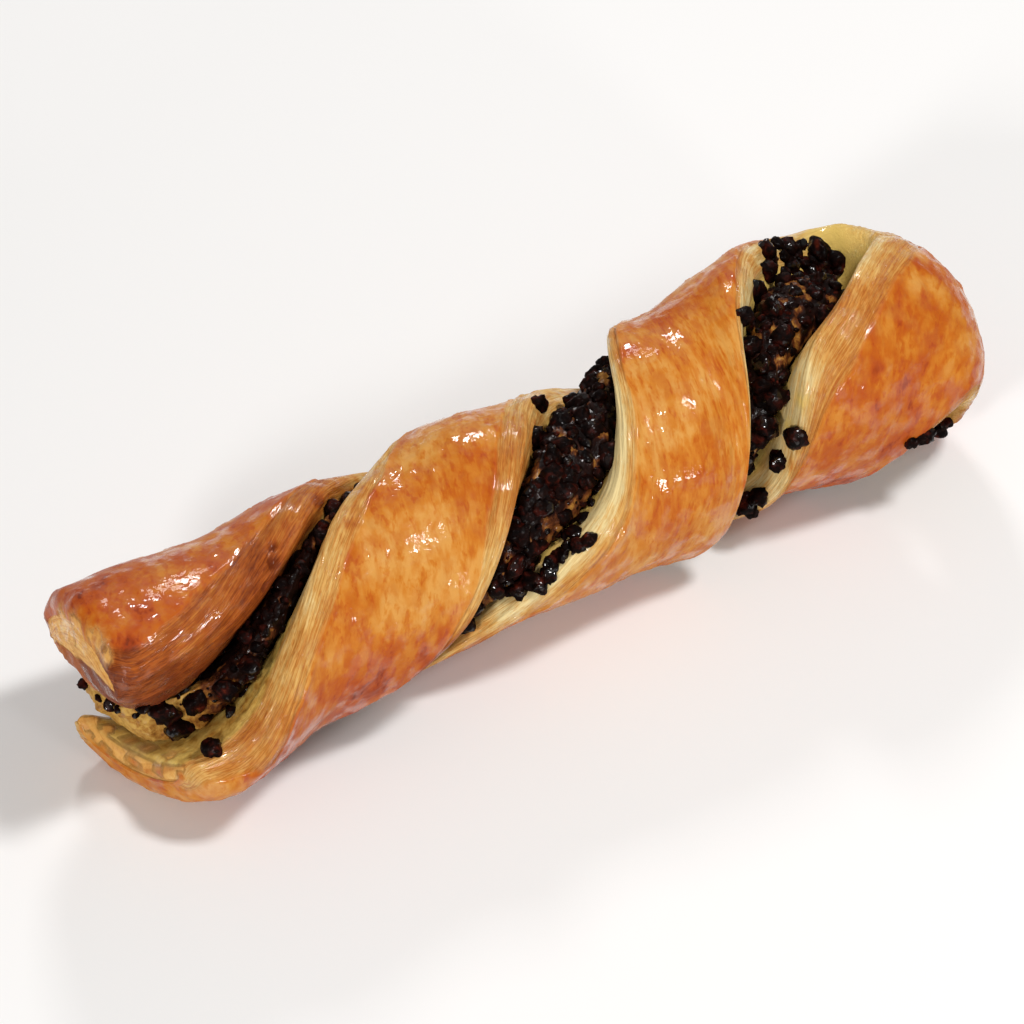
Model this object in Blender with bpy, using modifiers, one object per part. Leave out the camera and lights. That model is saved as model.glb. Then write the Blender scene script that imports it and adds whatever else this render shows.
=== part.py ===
"""A baked chocolate twist.

A strip of laminated dough is folded in half over custard and chocolate chips, then twisted. The fold is the
blunt end at +X, and the two cut ends of the strip part like a mouth at -X. Lengths are in metres, +Z is up.

The strip's two layers lie against each other, the upper and the lower one, with the filling between. In each
layer's own frame, x runs along the twist from the mouth, w out from the axis to the layer's crown, and v across
the strip, towards the edge that is in front at the mouth.
"""

import math
import random
from collections import namedtuple

import bmesh
import bpy
from mathutils import Matrix, Vector, noise

MM = 0.001

LENGTH = 206 * MM

# Stations are (millimetres from the mouth, value) pairs, read by a smooth curve. Angles around the twist are in
# degrees from the front, which faces -Y and up at this slope, and they grow upwards. AXIS_UP is how far the axis
# is bent upwards, square to the front, in millimetres.
FRONT_SLOPE = 52.9
AXIS_UP = ((0, 0), (45, 1), (70, -0.5), (85, 0.8), (107, -1), (120, -1), (135, 0.2), (158, 2.6), (176, 1),
           (187, 1.4), (194, -1.5), (198, -2), (206, -2))

# A layer of dough: the angles of the two lips it ends in, how far out the lips are as a share of the radius of its
# outside, that radius, how far its inner middle is from the axis, and how far the front and the back of its cut end
# are trimmed, in millimetres.
Layer = namedtuple("Layer", "side front_lip back_lip lip_share radius middle trim_front trim_back")
UPPER = Layer(
    side=1,
    front_lip=((0, -5), (15, -3), (27, 3), (40, 18), (54, 44), (67, 77), (100, 172), (137, 268), (140, 303),
               (145, 350), (150, 382), (158, 407), (166, 433), (176, 452), (179, 458)),
    back_lip=((0, 126), (40, 205), (74, 278), (82, 298), (89, 305), (95, 320), (106, 339), (114, 357), (121, 393),
              (128, 437), (150, 506), (176, 578), (179, 586)),
    lip_share=((0, 0.66), (20, 0.72), (45, 0.95), (176, 0.95)),
    radius=((0, 25), (12, 25), (30, 23.3), (38, 22.4), (48, 24.2), (54, 24.8), (62, 23), (73, 21), (95, 23),
            (112, 22.5), (128, 25), (134, 25.2), (140, 24), (150, 25), (163, 26.5), (170, 27.2), (179, 27)),
    middle=((0, 3), (8, -4), (20, -4), (40, 1.5), (80, 3), (150, 4), (176, 7)),
    trim_front=0,
    trim_back=3,
)
LOWER = Layer(
    side=-1,
    front_lip=((0, -72), (10, -62), (22, -48), (28, -33), (35, -17), (42, 2), (53, 32), (66, 65), (100, 150),
               (145, 262), (150, 290), (153, 326), (156, 350), (162, 366), (170, 377), (179, 392)),
    back_lip=((0, -190), (40, -120), (73, -72), (77, -53), (81, -34), (93, 8), (99, 28), (106, 55), (114, 90),
              (128, 122), (150, 196), (176, 272), (179, 281)),
    lip_share=((0, 0.7), (22, 0.75), (48, 0.95), (176, 0.95)),
    radius=((0, 24), (15, 28), (28, 27.5), (41, 23), (54, 23), (73, 20.5), (81, 22.6), (89, 24), (97, 23.8),
            (112, 22), (122, 21), (135, 23.5), (150, 25), (163, 26.5), (170, 27.2), (179, 27)),
    middle=((0, 14), (20, 12), (40, 6), (80, 3), (150, 4), (176, 7)),
    trim_front=13,
    trim_back=0,
)
TRIM_REACH = 30

# The fold: where the layers start to bend into each other, and how the bend twists on, bulges and spreads. Its
# front edge also rises by these factors, section by section.
FOLD_START = LENGTH - 27 * MM
FOLD_TWIST = 1.6
FOLD_STEPS = 6
FOLD_STRETCH = 1.06
FOLD_REACH_CURVE = 0.8
FOLD_BLUNTNESS = 0.75
FOLD_SPREAD = ((179, 1.0), (190, 1.0), (197, 0.95), (208, 0.85))
FOLD_RISE = (1.0, 1.06, 1.14, 1.18, 1.08, 0.92, 0.85, 1.0)

# How far apart the sections are, in millimetres, and the unevenness of risen dough.
STATION_STEP = ((0, 8.4), (125, 8.4), (136, 5), (160, 5), (176, 8))
SHORTEST_STEP = 3 * MM
CUT_END_EDGE = 1.2 * MM
PUFF = 0.03
PUFF_SCALE = 16 * MM

# A layer's outline across the strip. Its outside has the cut edge, as degrees in from the lip and shares of the
# radius, then points at shares of the angle that is left. Its inside has points at shares of the way to the lip.
CUT_EDGE = ((8, 1.01), (19, 1.03))
CROWN_SHARES = (0.5, 0.0)
INNER_SHARES = (0.0, 0.45, 0.8)
INNER_CURVE = 2.5

# The filling: how far it reaches out to each open edge, as shares of the radius, and the chips set in it.
FILLING_FRONT = ((0, 0.0), (10, 0.15), (20, 0.45), (32, 0.78), (150, 0.83), (165, 0.78), (182, 0.6))
FILLING_BACK = ((0, 0.80), (45, 0.84), (112, 0.88), (125, 0.84), (165, 0.84), (182, 0.6))
FILLING_START = 2.5 * MM
FILLING_END = 182 * MM
FILLING_STATIONS = 26
FILLING_GAP = 1.0 * MM
CLEARANCE = 0.35 * MM
CHIP_SEED = 11
CHIP_SPACING = 7.5 * MM
CHIP_RADIUS = (1.7 * MM, 3.0 * MM)
CHIP_SHAKE = (0.2, 0.8)
CHIP_WIDTH_SHARE = 0.4
CHIP_SHAPE = (1.0, 0.85, 0.75)
CHIP_ROUGHNESS = 0.45

# The flats it rests on, pressed into the underside by the tray.
TRAY_LEVEL = -25.5 * MM
TRAY_MARGIN = 40 * MM


def along(stations, x):
    """The value at x of a smooth curve through the stations."""
    at = x / MM
    last = len(stations) - 1
    i = max(j for j in range(last) if j == 0 or stations[j][0] <= at)
    (x0, y0), (x1, y1) = stations[i], stations[i + 1]

    def slope(j):
        before, after = stations[max(j - 1, 0)], stations[min(j + 1, last)]
        return (after[1] - before[1]) / (after[0] - before[0])

    span = x1 - x0
    t = min(max((at - x0) / span, 0.0), 1.0)
    return (
        (2 * t**3 - 3 * t**2 + 1) * y0
        + (t**3 - 2 * t**2 + t) * span * slope(i)
        + (3 * t**2 - 2 * t**3) * y1
        + (t**3 - t**2) * span * slope(i + 1)
    )


def around(x, v, w, crown):
    """The point v across and w out from the axis, for a layer whose crown faces this angle from the front."""
    crown = math.radians(crown)
    front = v * math.sin(crown) + w * math.cos(crown)
    up = w * math.sin(crown) - v * math.cos(crown) + along(AXIS_UP, x) * MM
    slope = math.radians(FRONT_SLOPE)
    y = up * math.sin(slope) - front * math.cos(slope)
    z = up * math.cos(slope) + front * math.sin(slope)
    return Vector((x, y, z))


def crown_and_reach(x, layer):
    """The angle that the layer's crown faces, and the angle from there to its lips."""
    front, back = along(layer.front_lip, x), along(layer.back_lip, x)
    crown = (front + back) / 2 + max(0.0, x - FOLD_START) / MM * FOLD_TWIST
    return crown, abs(back - front) / 2


def lip(x, layer):
    """Where a layer's lip is, as (v, w) in the layer's own frame."""
    _, reach = crown_and_reach(x, layer)
    radius = along(layer.lip_share, x) * along(layer.radius, x) * MM
    return radius * math.sin(math.radians(reach)), radius * math.cos(math.radians(reach))


def inner_height(x, layer, share):
    """How far out from the axis a layer's inner surface is, at this share of the way across to its lip."""
    middle = along(layer.middle, x) * MM
    return middle + (lip(x, layer)[1] - middle) * abs(share) ** INNER_CURVE


def layer_section(x, layer):
    """One layer's outline across the strip, as (v, w) pairs from its inner middle round by the front lip."""
    _, reach = crown_and_reach(x, layer)
    radius = along(layer.radius, x) * MM
    inside = [(share * lip(x, layer)[0], inner_height(x, layer, share)) for share in INNER_SHARES]
    outside = [(reach, along(layer.lip_share, x))]
    outside += [(reach - inward, share) for inward, share in CUT_EDGE]
    outside += [(outside[-1][0] * share, 1.0) for share in CROWN_SHARES]
    half = inside + [
        (share * radius * math.sin(math.radians(angle)), share * radius * math.cos(math.radians(angle)))
        for angle, share in outside
    ]
    return half + [(-v, w) for v, w in reversed(half[1:-1])]


def puffed(x, v, w, layer):
    """The point moved in or out a little, as dough rises unevenly."""
    swell = 1 + PUFF * noise.noise(Vector((x, v, w * layer.side)) / PUFF_SCALE)
    return v * swell, w * swell


def trim(x, v, layer):
    """How far the cut end is trimmed back at this point, in metres."""
    share = (v / (along(layer.radius, 0) * MM) + 1) / 2
    fade = max(0.0, 1 - x / (TRIM_REACH * MM))
    return (layer.trim_back + (layer.trim_front - layer.trim_back) * share) * MM * fade


def stations():
    """The x of each section from the mouth to the fold, closer where the strip turns fast."""
    steps = [0.0, CUT_END_EDGE]
    x = along(STATION_STEP, 0.0) * MM
    while x < FOLD_START - SHORTEST_STEP:
        steps.append(x)
        x += along(STATION_STEP, x) * MM
    return steps + [FOLD_START]


def hairpin():
    """The strip's way out in the upper layer, round the fold and back: (x, angle round the fold) of each section."""
    way = [(x, 0.0) for x in stations()]
    way += [(FOLD_START, math.pi * (i + 1) / (FOLD_STEPS + 1)) for i in range(FOLD_STEPS)]
    way += [(x, math.pi) for x in reversed(stations())]
    return way


def loft(name, rings):
    """A closed mesh through rings of points, with a face over each end."""
    bm = bmesh.new()
    verts = [[bm.verts.new(point) for point in ring] for ring in rings]
    count = len(rings[0])
    for before, after in zip(verts, verts[1:]):
        for i in range(count):
            j = (i + 1) % count
            bm.faces.new((before[i], before[j], after[j], after[i]))
    bm.faces.new(verts[0])
    bm.faces.new(verts[-1])
    bmesh.ops.recalc_face_normals(bm, faces=bm.faces[:])
    mesh = bpy.data.meshes.new(name)
    bm.to_mesh(mesh)
    bm.free()
    mesh.shade_smooth()
    return mesh


def in_triangles(mesh):
    """The mesh with every face split into flat triangles, so that a Boolean meets no bent face."""
    bm = bmesh.new()
    bm.from_mesh(mesh)
    bmesh.ops.triangulate(bm, faces=bm.faces[:])
    bm.to_mesh(mesh)
    bm.free()
    return mesh


def add_object(name, mesh, collection):
    obj = bpy.data.objects.new(name, mesh)
    collection.objects.link(obj)
    return obj


def add_material(name, colour, roughness):
    material = bpy.data.materials.new(name)
    material.use_nodes = True
    shader = material.node_tree.nodes["Principled BSDF"]
    shader.inputs["Base Color"].default_value = (*colour, 1.0)
    shader.inputs["Roughness"].default_value = roughness
    shader.inputs["Metallic"].default_value = 0.0
    return material


def add_rounding(obj):
    smooth = obj.modifiers.new("rounding", "SUBSURF")
    smooth.levels = smooth.render_levels = 1


def make_dough(collection):
    """The folded strip as one solid: the layer's section carried along the hairpin round the fold."""
    rings = []
    for x, angle in hairpin():
        layer = UPPER if angle <= math.pi / 2 else LOWER
        ring = []
        for v, w in layer_section(x, layer):
            v, w = puffed(x, v, w, layer)
            if 0 < angle < math.pi:
                radius = along(layer.radius, x) * MM
                out = FOLD_STRETCH * radius * (w / radius) ** FOLD_REACH_CURVE
                at = x + out * math.sin(angle) ** FOLD_BLUNTNESS
                crown, _ = crown_and_reach(at, UPPER)
                v *= along(FOLD_SPREAD, at)
                if v > 0:
                    v *= FOLD_RISE[round(angle / math.pi * (FOLD_STEPS + 1))]
                ring.append(around(at, v, w * math.cos(angle), crown))
            else:
                crown, _ = crown_and_reach(x, layer)
                ring.append(around(x + trim(x, v, layer), v * layer.side, w, crown))
        rings.append(ring)
    dough = add_object("dough", loft("dough", rings), collection)
    add_rounding(dough)
    return dough


def filling_ring(x):
    """The filling's outline across the strip, just clear of both layers, and bulging in both open edges."""
    ring = []
    for layer in (UPPER, LOWER):
        crown, _ = crown_and_reach(x, layer)
        across = lip(x, layer)[0]
        front, back = along(FILLING_FRONT, x), along(FILLING_BACK, x)
        shares = [front, front / 2, 0.0, -back / 2, -back]
        for share in shares[:: layer.side]:
            height = inner_height(x, layer, share) - FILLING_GAP
            at = x + trim(x, share * across, LOWER)
            ring.append(around(at, share * across * layer.side, height, crown))
        edge, reach = ("back", back) if layer is UPPER else ("front", front)
        ring.append(in_opening(x, edge, 0.5, reach))
    return ring


def opening(x, edge):
    """The angles of the lower and of the upper layer's lip at one open edge."""
    if edge == "front":
        return along(LOWER.front_lip, x), along(UPPER.front_lip, x)
    return along(LOWER.back_lip, x), along(UPPER.back_lip, x) - 360


def in_opening(x, edge, share, reach):
    """A point in an open edge: its share of the way from the lower lip to the upper one, and of the radius."""
    low, high = opening(x, edge)
    radius = (along(UPPER.radius, x) + along(LOWER.radius, x)) / 2 * MM
    return around(x, 0.0, reach * radius, low + (high - low) * share)


def chip_places():
    """Where the chips sit, as (point, radius): rows across both open edges, evenly spread and shaken a little."""
    draw = random.Random(CHIP_SEED)
    places = []
    rows = int((FILLING_END - FILLING_START) / CHIP_SPACING)
    for edge, reach in (("front", FILLING_FRONT), ("back", FILLING_BACK)):
        for row in range(rows):
            x = FILLING_START + (FILLING_END - FILLING_START) * (row + draw.uniform(*CHIP_SHAKE)) / rows
            low, high = opening(x, edge)
            width = math.radians(abs(high - low)) * along(UPPER.radius, x) * MM
            count = max(1, round(width / CHIP_SPACING))
            for i in range(count):
                share = (i + draw.uniform(*CHIP_SHAKE)) / count
                at = x + draw.uniform(-0.5, 0.5) * CHIP_SPACING
                radius = min(draw.uniform(*CHIP_RADIUS), max(CHIP_RADIUS[0], CHIP_WIDTH_SHARE * width))
                places.append((in_opening(at, edge, share, along(reach, at)), radius))
    return places


def make_chip(radius, draw):
    """One chocolate chip that has melted and set again: a rough, squashed lump."""
    bm = bmesh.new()
    bmesh.ops.create_icosphere(bm, subdivisions=1, radius=radius)
    shift = Vector([draw.uniform(0, 100) for _ in range(3)])
    for vert in bm.verts:
        vert.co *= 1 + CHIP_ROUGHNESS * noise.noise(vert.co / radius + shift)
    turn = Matrix.Rotation(draw.uniform(0, math.tau), 4, Vector([draw.uniform(-1, 1) for _ in range(3)]))
    bmesh.ops.transform(bm, matrix=turn @ Matrix.Diagonal((*CHIP_SHAPE, 1.0)), verts=bm.verts)
    mesh = bpy.data.meshes.new("chip")
    bm.to_mesh(mesh)
    bm.free()
    return mesh


def apply_modifiers(obj):
    """Puts what the object's modifiers make into its own mesh."""
    graph = bpy.context.evaluated_depsgraph_get()
    mesh = bpy.data.meshes.new_from_object(obj.evaluated_get(graph))
    old = obj.data
    obj.modifiers.clear()
    obj.data = mesh
    bpy.data.meshes.remove(old)


def cut(obj, cutter):
    difference = obj.modifiers.new("cut by " + cutter.name, "BOOLEAN")
    difference.operation = "DIFFERENCE"
    difference.solver = "MANIFOLD"
    difference.object = cutter


def keep_largest_body(obj):
    """Drops the loose scraps that a cut leaves."""
    bm = bmesh.new()
    bm.from_mesh(obj.data)
    unseen = set(bm.verts)
    bodies = []
    while unseen:
        front = [unseen.pop()]
        body = set(front)
        while front:
            for edge in front.pop().link_edges:
                for vert in edge.verts:
                    if vert in unseen:
                        unseen.discard(vert)
                        body.add(vert)
                        front.append(vert)
        bodies.append(body)
    bodies.sort(key=len)
    for body in bodies[:-1]:
        bmesh.ops.delete(bm, geom=list(body), context="VERTS")
    bm.to_mesh(obj.data)
    bm.free()


def make_cutter(name, mesh, cutters):
    cutter = add_object(name, mesh, cutters)
    cutter.hide_render = True
    cutter.display_type = "WIRE"
    return cutter


def make_room_for(dough, cutters):
    """The dough grown by the clearance, which the filling is cut back to."""
    graph = bpy.context.evaluated_depsgraph_get()
    mesh = bpy.data.meshes.new_from_object(dough.evaluated_get(graph))
    normals = [vert.normal.copy() for vert in mesh.vertices]
    for vert, normal in zip(mesh.vertices, normals):
        vert.co += normal * CLEARANCE
    return make_cutter("room_for_dough", in_triangles(mesh), cutters)


def make_filling(collection, dough, cutters):
    """Custard with chocolate chips: one solid that runs between the layers and shows along both open edges."""
    rings = []
    for i in range(FILLING_STATIONS):
        rings.append(filling_ring(FILLING_START + (FILLING_END - FILLING_START) * i / (FILLING_STATIONS - 1)))
    filling = add_object("chocolate_filling", in_triangles(loft("chocolate_filling", rings)), collection)

    chips = bpy.data.collections.new("chips")
    bpy.context.scene.collection.children.link(chips)
    draw = random.Random(CHIP_SEED + 1)
    for place, radius in chip_places():
        chip = add_object("chip", make_chip(radius, draw), chips)
        chip.location = place
    union = filling.modifiers.new("chips", "BOOLEAN")
    union.operation = "UNION"
    union.operand_type = "COLLECTION"
    union.collection = chips
    union.solver = "MANIFOLD"
    apply_modifiers(filling)
    for chip in list(chips.objects):
        bpy.data.objects.remove(chip)
    bpy.data.collections.remove(chips)

    cut(filling, make_room_for(dough, cutters))
    apply_modifiers(filling)
    keep_largest_body(filling)
    return filling


def make_tray(cutters):
    """Everything below the level of the tray."""
    bm = bmesh.new()
    bmesh.ops.create_cube(bm, size=1.0)
    size = Vector((LENGTH + TRAY_MARGIN, LENGTH, TRAY_MARGIN))
    bmesh.ops.scale(bm, vec=size, verts=bm.verts)
    bmesh.ops.translate(bm, vec=(LENGTH / 2, 0, TRAY_LEVEL - size.z / 2), verts=bm.verts)
    mesh = bpy.data.meshes.new("tray")
    bm.to_mesh(mesh)
    bm.free()
    return make_cutter("tray", mesh, cutters)


def stand_on_origin(objects):
    """Moves the objects so that the middle of their box's bottom is the origin."""
    graph = bpy.context.evaluated_depsgraph_get()
    corners = []
    for obj in objects:
        mesh = bpy.data.meshes.new_from_object(obj.evaluated_get(graph))
        corners += [vert.co.copy() for vert in mesh.vertices]
        bpy.data.meshes.remove(mesh)
    low = Vector(min(corner[i] for corner in corners) for i in range(3))
    high = Vector(max(corner[i] for corner in corners) for i in range(3))
    shift = Vector(((low.x + high.x) / 2, (low.y + high.y) / 2, low.z))
    for obj in bpy.data.objects:
        obj.location -= shift


def main():
    for obj in list(bpy.data.objects):
        bpy.data.objects.remove(obj)
    parts = bpy.data.collections.new("chocolate_twist")
    cutters = bpy.data.collections.new("cutters")
    bpy.context.scene.collection.children.link(parts)
    bpy.context.scene.collection.children.link(cutters)
    dough = make_dough(parts)
    filling = make_filling(parts, dough, cutters)
    cut(dough, make_tray(cutters))
    stand_on_origin((dough, filling))
    dough.data.materials.append(add_material("baked dough", (0.62, 0.27, 0.06), 0.35))
    filling.data.materials.clear()
    filling.data.materials.append(add_material("chocolate and custard", (0.05, 0.02, 0.015), 0.3))


main()
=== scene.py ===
"""The looks of a baked chocolate twist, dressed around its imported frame.

The dough is drawn again from the twist's own measures, as fine as its flaky edges need. The filling becomes
custard with melted chocolate chips. Lengths are in metres, and names ending in _mm are in millimetres.
"""

import math
import random
from collections import namedtuple

import bpy
import numpy as np
from mathutils import Matrix, Vector, noise

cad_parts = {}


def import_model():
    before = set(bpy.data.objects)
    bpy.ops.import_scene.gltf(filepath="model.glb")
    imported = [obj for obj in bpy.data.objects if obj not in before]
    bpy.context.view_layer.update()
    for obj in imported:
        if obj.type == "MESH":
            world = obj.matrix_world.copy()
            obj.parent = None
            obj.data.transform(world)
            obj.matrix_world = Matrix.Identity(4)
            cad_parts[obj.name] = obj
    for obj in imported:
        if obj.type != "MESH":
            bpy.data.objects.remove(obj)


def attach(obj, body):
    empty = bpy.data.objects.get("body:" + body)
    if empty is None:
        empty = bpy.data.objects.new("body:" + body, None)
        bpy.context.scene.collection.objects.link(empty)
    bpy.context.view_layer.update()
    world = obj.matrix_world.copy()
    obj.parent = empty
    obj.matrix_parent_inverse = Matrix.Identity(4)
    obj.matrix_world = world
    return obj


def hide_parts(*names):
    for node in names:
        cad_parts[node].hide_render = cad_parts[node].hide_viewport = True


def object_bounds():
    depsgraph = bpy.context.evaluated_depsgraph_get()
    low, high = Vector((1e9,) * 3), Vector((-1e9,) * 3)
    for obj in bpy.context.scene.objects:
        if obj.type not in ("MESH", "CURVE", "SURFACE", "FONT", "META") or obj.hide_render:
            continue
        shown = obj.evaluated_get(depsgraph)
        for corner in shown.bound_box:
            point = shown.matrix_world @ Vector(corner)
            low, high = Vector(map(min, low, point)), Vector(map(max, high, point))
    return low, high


MM = 0.001
IMAGE_SIDE = 1024

# The twist's own measures. Stations are (millimetres from the mouth, value) pairs, read by a smooth curve.
# Angles around the twist are in degrees from the front, and grow upwards.
LENGTH_MM = 206
FRONT_SLOPE = 52.9
PLACE = Vector((-103.572, -0.297, 25.5)) * MM
AXIS_UP = ((0, 0), (45, 1), (70, -0.5), (85, 0.8), (107, -1), (120, -1), (135, 0.2), (158, 2.6), (176, 1),
           (187, 1.4), (194, -1.5), (198, -2), (206, -2))

Layer = namedtuple("Layer", "side front_lip back_lip lip_share radius middle trim_front trim_back")
UPPER = Layer(
    side=1,
    front_lip=((0, -5), (15, -3), (27, 3), (40, 18), (54, 44), (67, 77), (100, 172), (137, 268), (140, 303),
               (145, 350), (150, 382), (158, 407), (166, 433), (176, 452), (179, 458)),
    back_lip=((0, 126), (40, 205), (74, 278), (82, 298), (89, 305), (95, 320), (106, 339), (114, 357),
              (121, 393), (128, 437), (150, 506), (176, 578), (179, 586)),
    lip_share=((0, 0.66), (20, 0.72), (45, 0.95), (176, 0.95)),
    radius=((0, 25), (12, 25), (30, 23.3), (38, 22.4), (48, 24.2), (54, 24.8), (62, 23), (73, 21), (95, 23),
            (112, 22.5), (128, 25), (134, 25.2), (140, 24), (150, 25), (163, 26.5), (170, 27.2), (179, 27)),
    middle=((0, 3), (8, -4), (20, -4), (40, 1.5), (80, 3), (150, 4), (176, 7)),
    trim_front=0,
    trim_back=3,
)
LOWER = Layer(
    side=-1,
    front_lip=((0, -72), (10, -62), (22, -48), (28, -33), (35, -17), (42, 2), (53, 32), (66, 65), (100, 150),
               (145, 262), (150, 290), (153, 326), (156, 350), (162, 366), (170, 377), (179, 392)),
    back_lip=((0, -190), (40, -120), (73, -72), (77, -53), (81, -34), (93, 8), (99, 28), (106, 55), (114, 90),
              (128, 122), (150, 196), (176, 272), (179, 281)),
    lip_share=((0, 0.7), (22, 0.75), (48, 0.95), (176, 0.95)),
    radius=((0, 24), (15, 28), (28, 27.5), (41, 23), (54, 23), (73, 20.5), (81, 22.6), (89, 24), (97, 23.8),
            (112, 22), (122, 21), (135, 23.5), (150, 25), (163, 26.5), (170, 27.2), (179, 27)),
    middle=((0, 14), (20, 12), (40, 6), (80, 3), (150, 4), (176, 7)),
    trim_front=13,
    trim_back=0,
)
TRIM_REACH_MM = 30
FOLD_START_MM = LENGTH_MM - 27
FOLD_TWIST = 1.6
FOLD_STEPS = 6
FOLD_STRETCH = 1.06
FOLD_REACH_CURVE = 0.8
FOLD_BLUNTNESS = 0.75
FOLD_SPREAD = ((179, 1.0), (190, 1.0), (197, 0.95), (208, 0.85))
FOLD_RISE = (1.0, 1.06, 1.14, 1.18, 1.08, 0.92, 0.85, 1.0)
STATION_STEP = ((0, 8.4), (125, 8.4), (136, 5), (160, 5), (176, 8))
PUFF = 0.03
PUFF_SCALE_MM = 16
CUT_EDGE = ((8, 1.01), (19, 1.03))
CROWN_SHARES = (0.5, 0.0)
INNER_SHARES = (0.0, 0.45, 0.8)
INNER_CURVE = 2.5

# Beside each of the four lips: how wide the cut edge's bare layers show, in millimetres, and how pale.
Beside = namedtuple("Beside", "upper_front upper_back lower_front lower_back")
BARE_MM = Beside(
    upper_front=((0, 13), (25, 13), (45, 10), (70, 6), (137, 3), (176, 4)),
    upper_back=((0, 6), (74, 7), (89, 8), (106, 8), (128, 7), (140, 5), (176, 5)),
    lower_front=((0, 4), (14, 6), (24, 12), (35, 9), (55, 8), (100, 6), (145, 9), (160, 12), (176, 10)),
    lower_back=((0, 6), (73, 6), (84, 8.5), (106, 8.5), (122, 6), (150, 6), (176, 6)),
)
PALENESS = Beside(
    upper_front=((0, -0.4), (45, -0.3), (70, 0.3), (137, 0.5), (176, 1.0)),
    upper_back=((0, 0.4), (89, 1.0), (128, 1.0), (150, 0.7), (176, 0.7)),
    lower_front=((0, 0.3), (20, 0.0), (45, 0.3), (66, 0.35), (145, 0.5), (153, 1.0), (158, 0.9), (164, 0.1),
                 (172, 0.1), (178, 1.0)),
    lower_back=((0, 0.4), (81, -0.1), (108, 0.0), (118, 0.35), (176, 0.5)),
)

# Marks that the photograph shows, as (x pixel, y pixel, radius in millimetres): pits and scorched spots in
# the crust, pale and crusted rims of the cut ends, custard on the dough, bare custard and the plainest chips.
# The pits are sunk into the dough and are also painted darker with the scorched spots, as shade in them.
PITS = ((270, 540, 1.5), (276, 561, 1.8), (268, 590, 0.9))
SCORCHES = (
    (351, 519, 2.0), (475, 535, 3.0), (472, 555, 2.0), (447, 635, 2.5), (626, 346, 2.5), (716, 362, 2.0),
    (664, 319, 2.0), (925, 262, 3.5), (325, 500, 2.5), (883, 371, 2.0), (791, 470, 2.0), (890, 410, 2.0),
    (905, 330, 2.5), (930, 300, 3.0), (700, 420, 2.5), (130, 640, 2.5), (215, 560, 2.0),
)
PALE_ENDS = (
    (58, 622, 3.4), (72, 632, 4.2), (90, 644, 4.0), (102, 654, 2.4), (92, 716, 1.8), (110, 726, 2.0),
    (130, 736, 2.0), (150, 744, 2.0), (170, 750, 1.8),
)
CRUSTED_ENDS = (
    (85, 739, 1.6), (100, 749, 1.6), (117, 758, 1.6), (135, 767, 1.6), (155, 774, 1.6), (175, 777, 1.6),
)
SPILLS = (
    (604, 428, 2.6), (600, 478, 3.0), (592, 497, 3.0), (580, 512, 3.0), (566, 528, 3.0), (556, 548, 3.0),
    (540, 570, 2.4), (796, 400, 2.5), (790, 425, 2.5), (775, 258, 3.5), (800, 256, 3.5), (822, 262, 3.5),
)
CUSTARD_PATCHES = (
    (608, 430, 3.0), (604, 478, 3.0), (592, 500, 3.5), (578, 512, 3.5), (566, 525, 3.0), (550, 545, 3.0),
    (512, 560, 2.0), (555, 388, 1.6), (560, 375, 1.6), (586, 400, 1.4), (536, 470, 2.0), (795, 290, 1.8),
    (800, 305, 1.6), (775, 325, 1.6), (842, 262, 3.5), (785, 412, 2.2), (790, 425, 2.0), (762, 460, 1.8),
    (775, 455, 1.4), (120, 710, 4.0), (232, 706, 2.4), (254, 662, 2.0), (276, 655, 2.0),
)
MARKED_CHIPS = (
    (88, 697, 2.6), (85, 684, 1.4), (163, 711, 3.0), (181, 727, 2.8), (172, 716, 2.0), (214, 748, 2.4),
    (196, 700, 2.6), (228, 690, 2.8), (250, 664, 2.4), (606, 455, 2.8), (538, 405, 2.2), (534, 437, 2.4),
    (536, 446, 1.6), (588, 540, 1.6), (578, 546, 1.8), (552, 566, 2.0), (534, 582, 2.4), (520, 590, 2.2),
    (496, 590, 2.0), (534, 548, 2.2), (528, 575, 2.2), (510, 585, 2.2), (766, 252, 2.2), (786, 248, 2.2),
    (801, 246, 1.4), (818, 252, 2.8), (836, 260, 2.2), (767, 270, 2.4), (790, 266, 2.0), (810, 272, 2.0),
    (755, 293, 2.6), (785, 282, 2.0), (742, 315, 2.2), (752, 347, 2.6), (746, 336, 1.8), (796, 438, 2.6),
    (769, 398, 2.8), (788, 396, 1.2), (760, 386, 2.0), (765, 428, 2.6), (778, 461, 2.2), (757, 440, 2.2),
    (745, 503, 2.6), (760, 496, 2.2), (752, 510, 1.6), (912, 442, 1.6), (924, 435, 2.0), (937, 429, 2.0),
    (946, 421, 1.6), (600, 487, 1.3), (592, 503, 1.1), (584, 519, 1.4), (576, 533, 1.8), (568, 547, 1.6),
    (560, 556, 1.8), (566, 536, 1.2), (548, 576, 1.8), (541, 586, 1.6), (604, 462, 1.4), (574, 520, 1.1),
    (776, 244, 1.4), (771, 260, 1.6), (783, 257, 1.4), (795, 255, 1.6), (803, 263, 1.6), (812, 259, 1.4),
    (821, 267, 1.8), (829, 257, 1.4), (800, 277, 1.6), (826, 275, 1.6), (838, 270, 1.4), (784, 273, 1.5),
    (99, 698, 0.8), (111, 704, 1.5), (118, 709, 0.8), (143, 707, 1.4), (136, 714, 0.8), (205, 716, 1.4),
    (232, 712, 1.3), (245, 690, 1.8),
)

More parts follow.
